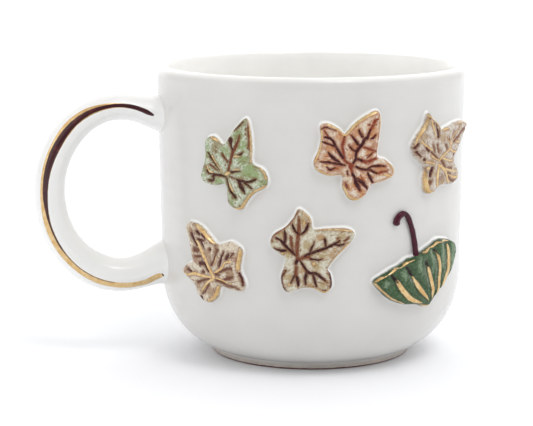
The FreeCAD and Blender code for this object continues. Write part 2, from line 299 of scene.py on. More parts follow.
PAINT["leaf_russet"] = {"dark": [
    [(-.4, -1.8, .4), (.1, -.5, .4), (.2, .9, .45), (.9, 2, .5), (1.6, 2.8, .5), (2.2, 3.8, .5),
     (2.5, 4.6, .55), (3.2, 5, .5), (3.6, 6.2, .4), (4.1, 7.2, .4)],
    [(1.9, 5.4, .45), (1.3, 6.4, .4), (1, 7.2, .3)], [(4.3, 4.7, .3), (5, 5, .35), (5.6, 5.7, .25)],
    [(1.4, 2.8, .45), (.6, 3.6, .45), (-.2, 4.7, .4), (-1, 5.8, .25)],
    [(.2, 1.3, .4), (-.7, 1.9, .35), (-1.3, 2.5, .35), (-1.7, 3.2, .15)], [(.6, -.7, .4), (1.8, -1.2, .5)],
    [(3.2, -.4, .2), (4.2, .3, .25), (4.9, .9, .15)],
    [(-3.3, -.3, .45), (-4, .8, .45), (-4.7, 2, .45), (-5.4, 3.2, .4), (-5.9, 4.3, .4), (-6.8, 5.1, .4),
     (-8, 5.4, .4)], [(-5.7, 3, .4), (-7.2, 3.6, .3), (-8.7, 4.2, .3)],
    [(-9, 7.6, .25), (-8, 8.1, .25), (-6.8, 7.8, .22), (-5.2, 7.2, .15)], (-2.9, 5.4, .3),
    [(-2.8, -2.4, .35), (-4.2, -2, .45), (-5.6, -1.8, .4), (-7, -1.5, .4), (-8.4, -1.4, .3),
     (-9.4, -1.3, .2)], [(-4.3, -1.4, .35), (-5.6, -.5, .5), (-6.5, .4, .45), (-7.2, 1.3, .2)],
    [(-5.2, -2.9, .2), (-6, -3.4, .3), (-6.8, -3.5, .35), (-7.6, -2.6, .15)],
    [(.4, -2.9, .4), (1.6, -3.5, .4), (3, -3.8, .4), (4.3, -4, .4), (5.6, -4.7, .35), (6.4, -5, .25)],
    [(3.4, -3.6, .3), (4.6, -3, .35), (6.4, -2.9, .4), (8.4, -3.1, .3)],
    [(3.5, -4.6, .3), (4, -5.6, .45), (4.6, -6.7, .45), (5.1, -7.5, .25)],
    [(-.6, -4.9, .45), (0, -6, .5), (.3, -7.3, .6), (.9, -8.4, .6), (1.4, -9.5, .35)],
    [(.8, -6.4, .6), (2, -7.3, .6), (2.9, -8.3, .45), (3.6, -9.5, .25)], [(-2.1, -4, .25), (-1.9, -5, .3)],
    [(-2.5, -7.2, .25), (-2.1, -8.6, .25)],
], "brown": [
    (-1, -2.6, .8), [(4.1, 7.2, .35), (4.8, 8.4, .5), (5.5, 9.6, .45), (6.3, 10, .2)], (3.7, 8.6, .3),
    [(1.8, -1.2, .45), (3.2, -1.6, .5), (4.6, -1.2, .5), (5.8, -.8, .3)],
    [(2.4, 2.4, .3), (3.6, 2, .35), (5, 1.4, .3), (6, 1.1, .2)],
    [(-1.6, -2, .35), (-2.6, -1.2, .4), (-3.3, -.3, .4)],
    [(-7.2, 5.4, .3), (-7.6, 6.2, .3), (-8.2, 7.2, .2)],
    [(-2.9, 5.4, .3), (-3.2, 4.2, .45), (-3.5, 2.8, .4), (-3.2, 1, .3), (-2.8, -.6, .3)],
    [(6.4, -5, .25), (7.5, -4.7, .3), (9, -4.5, .2)], [(-1.2, -3, .4), (-.8, -4, .4), (-.6, -4.9, .4)],
], "gold": [
    [(5.9, 12, .35), (2.3, 10.4, .4), (-.6, 8.2, .4), (-2.6, 6, .35), (-4.4, 7.5, .35), (-7.2, 8.9, .35)],
    [(6.9, 11, .25), (7.1, 8.2, .25), (6.6, 3.2, .2), (6.4, 0, .2)],
    [(-8.9, 7.8, .25), (-8.9, 5, .3), (-9.5, 1.8, .3), (-10.6, -1.4, .25)],
    [(-10.8, -2.6, .25), (-9.8, -3.8, .4), (-6.8, -5.2, .45), (-3.4, -5.2, .4)],
    [(-3.1, -8.2, .3), (-1.4, -11.4, .45), (.9, -12.1, .45), (3, -10.9, .3)],
    [(8.3, -5.3, .25), (10.6, -6.2, .3)], [(-8.5, -2.2, .2), (-6.8, -2.4, .2)],
    [(4.8, -8.1, .2), (7.6, -7.4, .3), (10.6, -6.2, .3), (10.9, -4, .25), (9, -1.7, .2)],
], "wash_a_and_canopy_highlight": [
    (4.8, 6.6, 1.6), (.4, 6.6, 1.2), (3.8, .6, 1.3), (-6.6, 2.2, 1.2), (-4.2, 5.6, 1.2),
    (-7.8, -.2, 1.2), (7, -4, 1.5), (2, -5.6, 1.1), (-1, -8.4, 1.3), (-1.2, .4, 1),
    (2, -10, 1.1),
], "wash_b_and_canopy_highlight": [
    (-4.6, -3.4, 1), (5.2, 3, 1.1), (-.4, 2.8, .9), (3, -6.4, .8), (-8.2, 2.6, .8),
]}

PAINT["leaf_grey"] = {"dark": [
    [(-7.5, 9, .3), (-7.5, 7.4, .35), (-7, 6.4, .6), (-6.9, 5.2, .5)], (-8.7, 9, .3), (-10.5, 10.6, .3),
    [(-14.6, 3.6, .5), (-15.6, 2.8, .5)], [(-15.2, 1.6, .4), (-13.6, .2, .3)],
    [(-11.6, 2.4, .4), (-10.8, 1.5, .4)], (-12.2, -.8, .5),
    [(-9.2, -3.6, .6), (-9.6, -4.6, .6), (-9.9, -5.6, .5)],
], "brown": [
    [(-10, 1.2, .3), (-8.4, 0, .3), (-7, -1, .25)], [(-9.2, 3.2, .2), (-8.4, 1.2, .3)],
    [(-7.2, 3, .25), (-6.6, .8, .25)], [(-5.2, -1.8, .4), (-4.6, -2.6, .4), (-3.8, -3.6, .3)],
    [(.8, 2.9, .3), (2.4, 3.6, .35), (4.4, 4.4, .35), (6, 5.2, .5), (8.4, 5.8, .5), (10.4, 6.1, .3)],
    [(4.2, 1.8, .3), (5.6, 1.6, .2)], [(1.4, -.6, .4), (3, -1, .3)], [(-3.6, 2.6, .3), (-2.8, 1.4, .25)],
    (-1.8, 3.9, .4), [(-2.6, -4, .25), (.2, -4.5, .3)], [(-2.4, -5.6, .4), (-.6, -6.1, .3)],
    [(-1.6, -6.7, .3), (.4, -8, .35), (3.2, -8.6, .3)], (-10, -7.4, .7),
], "gold": [
    [(-6.2, -1.6, .3), (-4.8, -.6, .3), (-3, .3, .3), (-1.6, 1.2, .35), (-.6, 3.4, .4)],
    [(-1.2, 1.2, .3), (.5, .3, .3), (2, -.1, .3), (3.4, 0, .2)],
    [(2, 2.8, .25), (3.6, 2.6, .3), (5.2, 2.4, .2)],
    [(-4.6, -1.2, .3), (-3, -1.7, .3), (-1.2, -2.2, .3), (.6, -2.4, .25)],
    [(-6.6, -2.8, .4), (-4.6, -4, .45), (-3.4, -5, .45), (-2.8, -6, .4), (-2, -7.4, .4), (-1, -8.4, .45)],
    [(-3.2, -4.3, .3), (-1.4, -4.9, .35), (.6, -5.3, .35), (3.4, -5.8, .25)],
    [(-1.8, -5.9, .2), (.2, -6.9, .35), (2.2, -7.4, .4), (3.8, -7.3, .3)],
    [(-6.4, -3.4, .4), (-6.6, -5.5, .5), (-6.7, -7.5, .5), (-6.5, -9, .35)],
    [(-6.8, -1.5, .2), (-8.6, -.6, .25), (-10, .2, .2)],
    [(-8.2, -2.4, .2), (-10, -1.9, .25), (-11.6, -1.5, .25)],
    [(-9.8, 9.8, .3), (-9.4, 8.2, .35), (-8.6, 6.6, .3), (-8.3, 5, .2)],
    [(-10.4, 11.4, .2), (-11.7, 8.7, .3), (-14.2, 5.8, .35), (-15.7, 3.6, .2)],
    [(-11.5, -4, .3), (-11.3, -6.6, .55), (-10.5, -9.8, .5), (-8.6, -10.4, .3)],
    [(-13.6, 4.6, .2), (-11.6, 2.9, .25), (-9.4, 1.6, .2)], (-10.6, -3.4, .5),
    [(-10.6, 11.3, .3), (-8.8, 10.2, .35), (-6.4, 8.6, .35), (-4.6, 6.9, .3), (-1.8, 7, .25)],
    [(-.4, 3.6, .2), (1.4, 4.9, .2), (3.4, 5.9, .2)], [(-.9, 2.4, .2), (-2.2, 3.4, .2), (-3, 4.8, .15)],
    [(2.6, 7.9, .12), (8.6, 7.8, .15), (12, 6.4, .15)],
], "wash_a_and_canopy_highlight": [
    (-12.6, 5.4, 1.2), (-4.8, 4.6, 1.3), (5, 6.6, 1.2), (-9.2, -.8, 1), (-7.8, -5.2, 1),
    (-.4, -3.2, 1), (-4.4, -8, 1),
], "wash_b_and_canopy_highlight": [
    (-4.8, -7, 1.4), (-13, 1.6, 1), (1.2, 5.2, 1.2), (-6, 1, .8),
]}

PAINT["leaf_brown"] = {"dark": [
    [(-.9, 8, .5), (-.1, 7.4, .4)], [(.6, 7.4, .2), (1.6, 6.8, .35), (2.1, 6.3, .2)],
    [(-2.9, 7.2, .5), (-2.6, 6.2, .6), (-2, 5.2, .4), (-1, 4, .25)],
    [(-.8, 5.9, .25), (.4, 5.6, .5), (1.6, 5.8, .2)], [(.6, 5.2, .4), (1.4, 3.8, .25)],
    [(.2, -1, .6), (1.8, -.8, .5), (2.6, -1.8, .4), (3.4, -2.8, .3)], (3.9, 3.5, .4),
    [(6.9, -1, .3), (7.2, .2, .4), (7.6, 1.6, .3), (8.2, 2.6, .25), (8.6, 3.4, .2)],
    [(9.2, 1.4, .4), (9.8, 2.2, .5), (10.2, 3, .2)], [(13, -2.4, .3), (13.9, -4, .35), (14.2, -5.6, .3)],
    (-2, -8.1, .4), (.2, -10.8, .6), [(-4.9, -3.4, .4), (-3.4, -3.8, .3)],
], "brown": [
    [(-1.8, 2.8, .7), (-.6, 2.7, .6)], [(-1.6, .8, .2), (-.2, 1, .35), (.6, 1.1, .2)], (1.4, -3.2, .6),
    [(4.5, -.8, .4), (5.2, .8, .3), (5.8, 2.4, .3), (6.4, 3.6, .3)], [(10.6, 2, .3), (11.6, 3.1, .25)],
    [(6.6, -2.8, .25), (8.4, -1.9, .35), (10.4, -1.2, .35), (11, -1.4, .2)],
    [(5.8, -3.3, .4), (6.8, -3.4, .3)], [(8.6, -4.6, .3), (9.6, -4.2, .5), (11.2, -3.7, .3)],
    [(5.8, -5.1, .35), (7.6, -5.4, .35), (9.6, -6.1, .35), (11.4, -6.4, .3), (13, -6.8, .25)],
    [(3.6, -4.9, .25), (1.4, -5.6, .35), (-.8, -6.5, .35)],
    [(3.4, -6.6, .3), (2.6, -7.9, .35), (1.8, -9, .25), (.8, -9.6, .2)],
], "gold": [
    [(5.2, -4.4, .45), (3.8, -2, .45), (2.4, .4, .5), (1.2, 2, .55), (.2, 3.6, .5), (-.8, 5, .4),
     (-1.2, 5.5, .2)],
    [(4.6, -4.4, .3), (2.6, -4.5, .35), (.2, -4.4, .45), (-2, -4.2, .45), (-3.6, -4.6, .4), (-5.2, -5, .35),
     (-6.2, -4.6, .2)],
    [(4.8, -5, .4), (3.6, -5.6, .4), (2.6, -6.5, .35), (1.6, -7.8, .35), (.6, -8.9, .2)],
    [(5.6, -2.9, .3), (6.8, -2.2, .35), (8, -1.2, .35), (8.8, .2, .3), (10.8, .8, .3)],
    [(6, -4.5, .3), (8.4, -5, .25), (10.8, -5.6, .2)], [(6, 1.6, .2), (5.4, -.6, .2)],
    [(6.4, -7, .4), (5.8, -8.8, .45), (4.6, -10.4, .45), (2.8, -11.6, .35)],
    [(13.5, 4, .45), (13.2, 2, .45), (12.8, 0, .45), (12.7, -1.4, .35)],
    [(-1.4, 9.9, .4), (1.4, 8.1, .45), (3.4, 6.5, .45), (5.6, 5.2, .35)],
], "wash_a_and_canopy_highlight": [
    (-3.4, 8, 1.2), (2.8, 2.4, 1.2), (10.6, -3, 1.3), (4, -8.4, 1.2), (-.4, -7.8, 1),
    (6, 3.8, .8),
], "wash_b_and_canopy_highlight": [
    (-1.4, 0, 1.2), (8.8, -7, 1), (3.6, 1, .8), (-5.8, -3.4, .9), (12, 1.6, .9),
]}

PAINT["leaf_sand"] = {"dark": [
    [(-3.9, 5.6, .3), (-4.7, 6.3, .4), (-5.3, 7.4, .4), (-5.6, 8.3, .25)],
    [(-3.6, 5.6, .3), (-2.9, 5.8, .35), (-2.1, 6.6, .4), (-1.6, 7.6, .45), (-1.3, 8.7, .25)],
    [(-4.8, -.4, .3), (-5.8, .6, .4), (-7, 1.8, .45), (-8, 3, .45), (-8.9, 3.9, .35), (-10, 4.4, .3)],
    [(-7.6, 3.2, .4), (-7.4, 4.4, .45), (-7.5, 5.6, .4), (-7.7, 6.8, .15)],
    [(-10.4, 1.4, .2), (-9.2, 1, .4), (-8.2, .8, .5), (-7.2, .9, .3)],
    [(-2.2, -.5, .35), (-1, .1, .45), (.6, .7, .45), (2.2, 1.3, .45), (3.8, 1.9, .4), (5.4, 2.7, .4),
     (6.4, 3.2, .35), (7, 3.7, .3)], [(-.8, .5, .3), (-.5, 1.6, .35), (0, 2.7, .25), (.3, 3.7, .12)],
    [(3.3, 2.2, .3), (3.2, 3.4, .4), (3.1, 4.2, .35)], [(5.8, 2.6, .35), (7, 2.4, .35), (8.2, 2.6, .3)],
    [(-.6, -1.4, .35), (.6, -1.5, .3), (1.4, -1.7, .3), (2.3, -1.3, .2)],
    [(-3.4, -1.8, .3), (-2.8, -2.8, .35), (-2.2, -3.8, .35), (-1.6, -4.7, .45), (-.6, -5.3, .45),
     (.6, -5.4, .5), (1.4, -5.9, .5), (2.4, -6.7, .4), (3.3, -7.5, .3)],
    [(.1, -5.6, .3), (.3, -6.8, .4), (.6, -8, .4), (.9, -9.2, .25)],
    [(-1.6, -4.8, .45), (-1.9, -6, .5), (-2.1, -7.2, .4), (-2, -8.4, .35)],
    [(-4.3, -1.9, .5), (-4.6, -2.6, .5)], [(-4.3, -6.6, .5), (-4.1, -7.4, .5), (-3.9, -8.7, .4)],
    [(-5, -6, .25), (-5.4, -7, .3), (-5.9, -8.2, .25)],
    [(-7.3, -4.7, .25), (-8.3, -6.4, .3), (-8.4, -7.6, .25), (-8, -9.2, .2), (-7.5, -10.4, .3)],
    [(4.2, -4.8, .25), (4.6, -6.2, .3), (4.9, -8, .35), (4.7, -9.4, .3)],
    [(2.6, -10.2, .2), (3.6, -10.2, .2)],
], "brown": [
    [(-4.3, -.4, .5), (-4.3, 1.4, .5), (-4.1, 3.4, .5), (-3.9, 5.4, .5), (-3.8, 7.2, .5), (-3.8, 8.8, .4),
     (-3.9, 10.2, .25)], (-4, -1.4, .7),
    [(-6, 4.8, .25), (-5.8, 3.2, .4), (-5.6, 1.6, .35), (-5.2, .4, .25)],
    [(-3.2, -1.2, .4), (-2.2, -.5, .4)], [(8.4, 3.6, .3), (9.6, 4.6, .2)], (6.5, 4.4, .3),
    [(-2.4, -.9, .4), (-1.2, -.8, .4), (-.6, -1.4, .4)],
    [(-4.4, -3.6, .4), (-4.6, -5, .45), (-4.5, -6.2, .45)],
    [(-4, 12, .2), (-5.2, 10.1, .2), (-6.9, 7.9, .2), (-10.8, 4.8, .2), (-11.1, 3.4, .2)],
], "gold": [
    [(-2.7, 7.6, .2), (-2.4, 9, .25)], (-8.2, .2, .4), (.2, -2.6, .5), [(5.4, 1.6, .25), (6.2, .9, .2)],
    (-6.4, -8.6, .4), [(9.8, 2.8, .3), (6.8, -.2, .35), (4.3, -3.6, .25)],
    [(-3.6, -9.8, .15), (0, -9.6, .2), (2.8, -10.8, .35), (4.5, -10.1, .3)],
    [(-2.6, 11.6, .2), (-1, 10, .2), (-.6, 8.8, .2)], [(1, 6.8, .15), (6, 6.8, .15), (11, 6.2, .2)],
], "wash_a_and_canopy_highlight": [
    (-1.6, 2.6, 1.2), (2.6, -.2, 1.3), (-2.6, 9.6, 1.1), (-8.6, 5.4, 1), (7.6, 4.8, 1.2),
    (-6.6, -6.6, 1.1), (1, -3.6, 1.1), (2.6, -8.6, 1.1), (-6.8, .2, 1),
], "wash_b_and_canopy_highlight": [
    (-5.6, 8.8, .8), (1.8, 4.6, 1), (-3, -4.6, .8), (5, -.2, 1), (-.6, -8.8, .8),
]}


# ---- materials ----

def srgb(red, green, blue):
    """A colour given as 0 to 255 on a screen, as the linear values that a shader takes."""
    values = [c / 255 for c in (red, green, blue)]
    return tuple(c / 12.92 if c <= 0.04045 else ((c + 0.055) / 1.055) ** 2.4 for c in values) + (1.0,)


class Tree:
    """The node tree of a material or world, with short ways to add nodes and join them."""

    def __init__(self, owner):
        owner.use_nodes = True
        self.tree = owner.node_tree

    def add(self, kind, **settings):
        node = self.tree.nodes.new(kind)
        for key, value in settings.items():
            setattr(node, key, value)
        return node

    def plug(self, value, socket):
        if isinstance(value, bpy.types.NodeSocket):
            self.tree.links.new(value, socket)
        else:
            socket.default_value = value

    def math(self, operation, a, b):
        node = self.add("ShaderNodeMath", operation=operation)
        self.plug(a, node.inputs[0])
        self.plug(b, node.inputs[1])
        return node.outputs[0]

    def times(self, a, b):
        return self.math("MULTIPLY", a, b)

    def plus(self, a, b):
        return self.math("ADD", a, b)


class Nodes(Tree):
    """A material's node tree, with the kinds of node that the glazes use."""

    def __init__(self, name):
        self.material = bpy.data.materials.new(name)
        super().__init__(self.material)
        self.shader = self.tree.nodes["Principled BSDF"]
        self.place = self.add("ShaderNodeTexCoord").outputs["Object"]

    def rest(self, value):
        """What is left of 1."""
        return self.math("SUBTRACT", 1.0, value)

    def noise(self, grain_mm, detail=2.0, roughness=0.5, shift=0.0):
        """Noise from 0 to 1 whose blotches are about grain_mm across."""
        node = self.add("ShaderNodeTexNoise", noise_dimensions="4D")
        self.plug(self.place, node.inputs["Vector"])
        node.inputs["Scale"].default_value = 1 / (grain_mm * MM)
        node.inputs["Detail"].default_value = detail
        node.inputs["Roughness"].default_value = roughness
        node.inputs["W"].default_value = shift
        return node.outputs["Fac"]

    def field(self, name):
        return self.add("ShaderNodeAttribute", attribute_name=name).outputs["Fac"]

    def ramp(self, value, low, high, out_low=0.0, out_high=1.0):
        node = self.add("ShaderNodeMapRange", interpolation_type="SMOOTHSTEP")
        self.plug(value, node.inputs["Value"])
        ends = {"From Min": low, "From Max": high, "To Min": out_low, "To Max": out_high}
        for key, number in ends.items():
            node.inputs[key].default_value = number
        return node.outputs["Result"]

    def painted(self, name, edge=0.1, ragged=0.25, grain=0.9, shift=0.0, thin=0.0):
        """How fully a stroke covers each point, from its distance field, with a ragged edge."""
        wander = self.math("SUBTRACT", self.noise(grain, 3.0, 0.6, shift), 0.5)
        wander = self.plus(self.times(wander, ragged * 2), thin)
        return self.ramp(self.plus(self.field(name), wander), -edge, edge, 1.0, 0.0)

    def mix(self, factor, a, b, kind="RGBA", first=6, result=2):
        node = self.add("ShaderNodeMix", data_type=kind)
        self.plug(factor, node.inputs[0])
        self.plug(a, node.inputs[first])
        self.plug(b, node.inputs[first + 1])
        return node.outputs[result]

    def blend(self, factor, a, b):
        """The same for numbers instead of colours."""
        return self.mix(factor, a, b, "FLOAT", 2, 0)

    def bump(self, height, distance_mm, strength=1.0):
        node = self.add("ShaderNodeBump")
        node.inputs["Strength"].default_value = strength
        node.inputs["Distance"].default_value = distance_mm * MM
        self.plug(height, node.inputs["Height"])
        self.tree.links.new(node.outputs[0], self.shader.inputs["Normal"])

    def finish(self, color, roughness, metallic=0.0, ior=1.5):
        self.plug(color, self.shader.inputs["Base Color"])
        self.plug(roughness, self.shader.inputs["Roughness"])
        self.plug(metallic, self.shader.inputs["Metallic"])
        self.shader.inputs["IOR"].default_value = ior
        return self.material


WHITE_A, WHITE_B = srgb(216, 215, 212), srgb(210, 208, 205)
INSIDE_PAINTED_BRIGHT = srgb(253, 252, 249)
HIGHLIGHT_WHITE = srgb(252, 252, 250)
REFLECTION_DARK = srgb(56, 8, 18)
GOLD_A, GOLD_B = srgb(222, 196, 149), srgb(205, 166, 110)


def white_glaze(n):
    """Colour and roughness of the milky glaze: faint pooling, and thinner patches a little warmer."""
    patch = n.ramp(n.noise(16, 3.0, 0.5), 0.3, 0.7)
    speck = n.ramp(n.noise(0.5, 2.0, 0.5, 4.0), 0.66, 0.74)
    color = n.mix(n.times(patch, 0.6), WHITE_A, WHITE_B)
    color = n.mix(n.times(speck, 0.16), color, srgb(206, 198, 186))
    return color, n.ramp(n.noise(7, 2.0, 0.5, 2.0), 0.2, 0.8, 0.13, 0.2)


def glazed_clay(name):
    """The cup's glaze, painted whiter and a little warmer inside the cup and over the lip: painted light for
    the brighter inside and a painted highlight along the lip.
    """
    n = Nodes(name)
    color, roughness = white_glaze(n)
    # painted light: the inside and the top of the lip are painted whiter where more light falls
    inner = n.times(n.field("inside"), n.ramp(n.noise(9, 2.0, 0.5, 6.0), 0.2, 0.8, 0.86, 1.0))
    color = n.mix(inner, color, INSIDE_PAINTED_BRIGHT)
    n.bump(n.plus(n.noise(5.0, 2.0), n.times(n.noise(0.7, 2.0, 0.5, 1.0), 0.12)), 0.09)
    return n.finish(color, roughness)


def foot_glaze(name):
    """White glaze painted grey on the ring as painted shade near the floor, with a dark burgundy line at the
    bottom: a wiped bare edge, widened towards the front as a painted contact shadow.
    """
    n = Nodes(name)
    color, roughness = white_glaze(n)
    grey = n.mix(n.ramp(n.noise(3.0, 3.0, 0.6), 0.3, 0.7), srgb(210, 201, 192), srgb(197, 188, 178))
    color = n.mix(n.painted("d_foot_shade", 0.3, 0.3, 3.0), color, grey)
    color = n.mix(n.painted("d_bare_edge_and_shadow", 0.12, 0.16, 2.5, 3.0), color, srgb(96, 52, 54))
    n.bump(n.noise(0.9, 3.0, 0.6), 0.05)
    return n.finish(color, n.blend(n.painted("d_bare_edge_and_shadow", 0.2, 0.1, 2.5, 3.0), roughness, 0.5))


def handle_glaze(name):
    """White glaze with the band brushed along the handle's edge: gold lustre, with a dark burgundy core
    painted in as a dark reflection in the gold.
    """
    n = Nodes(name)
    color, roughness = white_glaze(n)
    # painted light: the handle's white is painted lighter than the cup's, where the handle catches more
    # light
    color = n.mix(0.65, color, srgb(250, 250, 248))
    gold = n.mix(n.ramp(n.noise(1.6, 3.0, 0.6), 0.3, 0.7), GOLD_A, GOLD_B)
    band = n.painted("d_band", 0.07, 0.08, 1.6)
    # painted reflection: the dark core in the gold band stands for dark surroundings mirrored in the lustre
    dark_reflection = n.painted("d_dark_reflection", 0.12, 0.14, 1.1, 5.0)
    reflection_tone = n.mix(n.ramp(n.noise(5.0, 3.0, 0.6, 8.0), 0.5, 0.7), REFLECTION_DARK, srgb(98, 34, 26))
    color = n.mix(band, color, n.mix(dark_reflection, gold, reflection_tone))
    lustre = n.times(band, n.rest(dark_reflection))
    n.bump(n.plus(n.noise(5.0, 2.0), n.times(band, 0.5)), 0.09)
    return n.finish(color, n.blend(lustre, roughness, 0.24), n.times(lustre, 0.9))


def relief_glaze(name, tones, shift=0.0, streaks=1.0):
    """A coloured piece on the wall: thin washes over a pale ground, stained along the painted veins, with
    gold lustre, and a painted highlight on the white glaze round it, lightest along its upper and right
    edges."""
    ground_a, ground_b, wash_a_and_canopy_highlight, wash_b_and_canopy_highlight, stain, brown, dark = (srgb(*tone) for tone in tones)
    n = Nodes(name)
    white, white_rough = white_glaze(n)
    # painted highlight: the white just outside the outline is painted lighter, most on the upper and right
    # edges
    run_up_and_highlight = n.times(n.ramp(n.field("edge"), 0.1, 0.95, 1.0, 0.0), n.field("pooled"))
    white = n.mix(run_up_and_highlight, white, HIGHLIGHT_WHITE)
    # the ground and its two washes; on the umbrella both washes are painted highlights
    mottle = n.noise(0.7, 4.0, 0.75, shift)
    color = n.mix(n.ramp(mottle, 0.42, 0.58), ground_a, ground_b)
    color = n.mix(n.times(n.painted("wash_b_and_canopy_highlight", 0.6, 1.5, 0.6, shift + 1), 0.75), color, wash_b_and_canopy_highlight)
    color = n.mix(n.times(n.painted("wash_a_and_canopy_highlight", 0.6, 1.6, 0.6, shift + 2), 0.75), color, wash_a_and_canopy_highlight)
    # the stain along the veins, the fine brush marks and the brown fringe of each line
    line = n.math("MINIMUM", n.field("dark"), n.field("brown"))
    vein = n.math("MINIMUM", line, n.field("gold"))
    wander = n.times(n.math("SUBTRACT", n.noise(0.7, 4.0, 0.75, shift + 3), 0.5), 2.4)
    near = n.ramp(n.plus(vein, wander), -0.1, 0.9, 1.0, 0.0)
    color = n.mix(n.times(near, 0.75 * streaks), color, stain)
    marks = n.painted("marks", 0.1, 0.2, 0.5, shift + 10)
    depth = n.ramp(n.noise(1.3, 2.0, 0.5, shift + 11), 0.36, 0.56, 0.5, 1.0)
    color = n.mix(n.times(marks, n.times(depth, streaks)), color, n.mix(0.6, stain, brown))
    pale_marks = n.painted("pale_marks", 0.1, 0.2, 0.5, shift + 12)
    color = n.mix(n.times(pale_marks, 0.75), color, ground_a)
    fringe = n.ramp(n.plus(line, n.times(wander, 0.4)), -0.12, 0.3, 1.0, 0.0)
    color = n.mix(n.times(fringe, 0.5 * streaks), color, brown)
    # the painted lines: brown, then gold, then dark
    fine = n.ramp(n.noise(0.4, 3.0, 0.7, shift + 9), 0.5, 0.72)
    load = n.ramp(n.noise(1.1, 2.0, 0.5, shift + 13), 0.34, 0.52, 0.45, 1.0)
    brown_on = n.times(n.painted("brown", 0.14, 0.36, 0.5, shift + 4, 0.1), load)
    color = n.mix(n.times(brown_on, 0.92), color, n.mix(n.times(fine, 0.45), brown, dark))
    gold_on = n.painted("gold", 0.09, 0.2, 0.8, shift + 5, 0.05)
    gold = n.mix(n.ramp(n.noise(1.2, 2.0, 0.5, shift + 6), 0.35, 0.65), GOLD_A, GOLD_B)
    color = n.mix(gold_on, color, gold)
    dark_on = n.painted("dark", 0.12, 0.36, 0.5, shift + 7, 0.09)
    tone = n.mix(n.times(fine, 0.35), dark, brown)
    color = n.mix(n.times(dark_on, n.blend(0.45, 0.97, load)), color, tone)
    # the colour ends at the outline, and only the gold that nothing covers is metal
    inside = n.painted("edge", 0.12, 0.12, 1.2, shift + 8)
    color = n.mix(inside, white, color)
    lustre = n.times(n.times(gold_on, n.rest(dark_on)), inside)
    clay_grain = n.times(mottle, n.rest(n.times(gold_on, 0.9)))
    n.bump(n.plus(clay_grain, n.times(gold_on, 0.9)), 0.08)
    rough = n.blend(inside, white_rough, n.ramp(n.noise(0.9, 3.0, 0.6), 0.3, 0.7, 0.16, 0.32))
    return n.finish(color, n.blend(lustre, rough, 0.28), n.times(lustre, 0.75), 1.33)


# ---- the cup ----

def lip_half(outside):
    """(radius, height) over one half of the lip, going up the outside or down the inside."""
    if outside:
        edge, start, pull, roundness = RIM_R, LIP_START_Z, 0.6, 0.5
    else:
        edge, start, pull, roundness = RIM_R - WALL, INNER_LIP_Z, 0.3, 0.6
    crest_pole = LIP_CREST_R + roundness * (edge - LIP_CREST_R)
    curve = bezier((edge, start), (edge, start + pull * (HEIGHT - start)), (crest_pole, HEIGHT),
                   (LIP_CREST_R, HEIGHT), 18)
    return curve if outside else curve[::-1]


def turned(profile, turns=320):
    """A turned shape from (radius, height) points; one that starts and ends on the axis is closed there."""
    azimuth = np.linspace(0, math.tau, turns, endpoint=False)
    rings, has_hole = [], profile[0][0] > 0
    for r, z in profile if has_hole else profile[1:-1]:
        radius = r + hand_made(azimuth, z) * min(1.0, r / RIM_R) ** 2
        rings.append(np.stack([radius * np.sin(azimuth), -radius * np.cos(azimuth), np.full(turns, z)], 1))
    points = np.vstack(rings)
    if has_hole:
        return points, grid_faces(len(rings), turns, closed_rows=True)
    return closed_tube(points, turns, [[0, 0, profile[0][1]], [0, 0, profile[-1][1]]])


def make_cup(material):
    inner_pull = 10.0
    inner_waist = WAIST_R - WALL
    inside_wall = [(turned_radius(z) - WALL, z) for z in np.linspace(INNER_LIP_Z, WAIST_Z, 60)]
    inside_corner = bezier((inner_waist, WAIST_Z), (inner_waist, WAIST_Z - inner_pull),
                           (FLOOR_R + inner_pull, FLOOR_Z), (FLOOR_R, FLOOR_Z), 24)
    inside_floor = [(r, FLOOR_Z + 0.08 * math.cos(r / 1.7)) for r in np.linspace(FLOOR_R, 0, 26)[1:]]
    under = [(r, FOOT_H) for r in np.linspace(0, FOOT_R, 14)[:-1]]
    profile = under + list(OUTER) + list(lip_half(True))[1:] + list(lip_half(False))[1:]
    profile += inside_wall[1:] + list(inside_corner)[1:] + inside_floor
    points, faces = turned(profile)
    # "inside" is 1 on the cup's inside and rises to 0.75 over the lip; it paints both lighter, as painted
    # light for the brighter inside and a painted highlight on the lip.
    z = points[:, 2]
    radius = np.hypot(points[:, 0], points[:, 1])
    inside = np.clip((LIP_CREST_R + 0.6 - radius) / 1.2, 0, 1) * (z > FLOOR_Z - 1)
    outer_side = (turned_radius(z) - radius < 1.5) & (z < LIP_START_Z)
    inside = np.where(outer_side, 0.0, inside)
    inside = np.maximum(inside, 0.75 * np.clip((z - HEIGHT + 1.5) / 1.3, 0, 1))
    return make_piece("cup_body_glazed", points, faces, material, "cup_body",
                      {"inside": inside})


